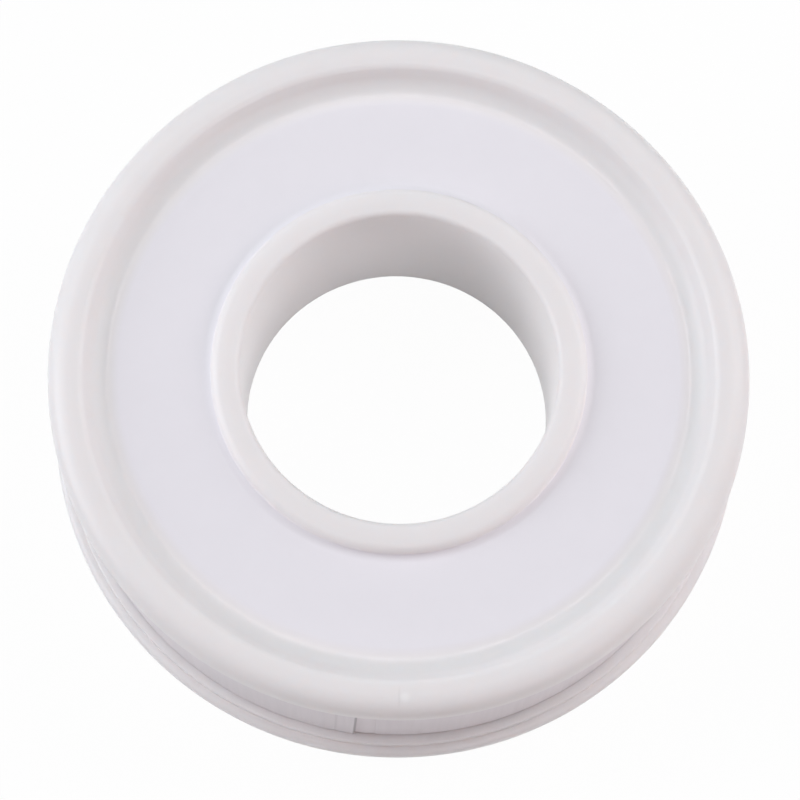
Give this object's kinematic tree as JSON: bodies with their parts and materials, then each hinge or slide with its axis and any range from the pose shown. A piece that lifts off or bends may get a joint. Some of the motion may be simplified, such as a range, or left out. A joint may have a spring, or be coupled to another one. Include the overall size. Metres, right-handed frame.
{
  "type": "thread seal tape roll",
  "caption": "Flanged white spool with an open bore, wound with thread seal tape; the wound half turns on a snap-in sleeve that lines the bore.",
  "frame": {"origin": "centre of the face that the roll rests on, on the axis of the bore", "axes": "+Z along the axis of the bore, from the wider stepped flange up to the flange with the paper ring; -Y towards the tape's cut end"},
  "size_m": [0.0534, 0.0534, 0.0166],
  "materials": {
    "moulded_plastic": "satin moulded",
    "tape_film": "soft unsintered film",
    "paper": "plain coated paper"
  },
  "bodies": {
    "wound_half": {"hub_flange": "moulded_plastic", "tape_inner_turns": "tape_film", "tape_outer_turn": "tape_film"},
    "sleeve_half": {"sleeve_flange": "moulded_plastic", "paper_ring": "paper"}
  },
  "joints": [
    {"name": "spool_turn", "type": "hinge", "parent": "wound_half", "child": "sleeve_half", "pos_m": [0, 0, 0.0083], "axis": [0, 0, 1], "continuous": true}
  ]
}
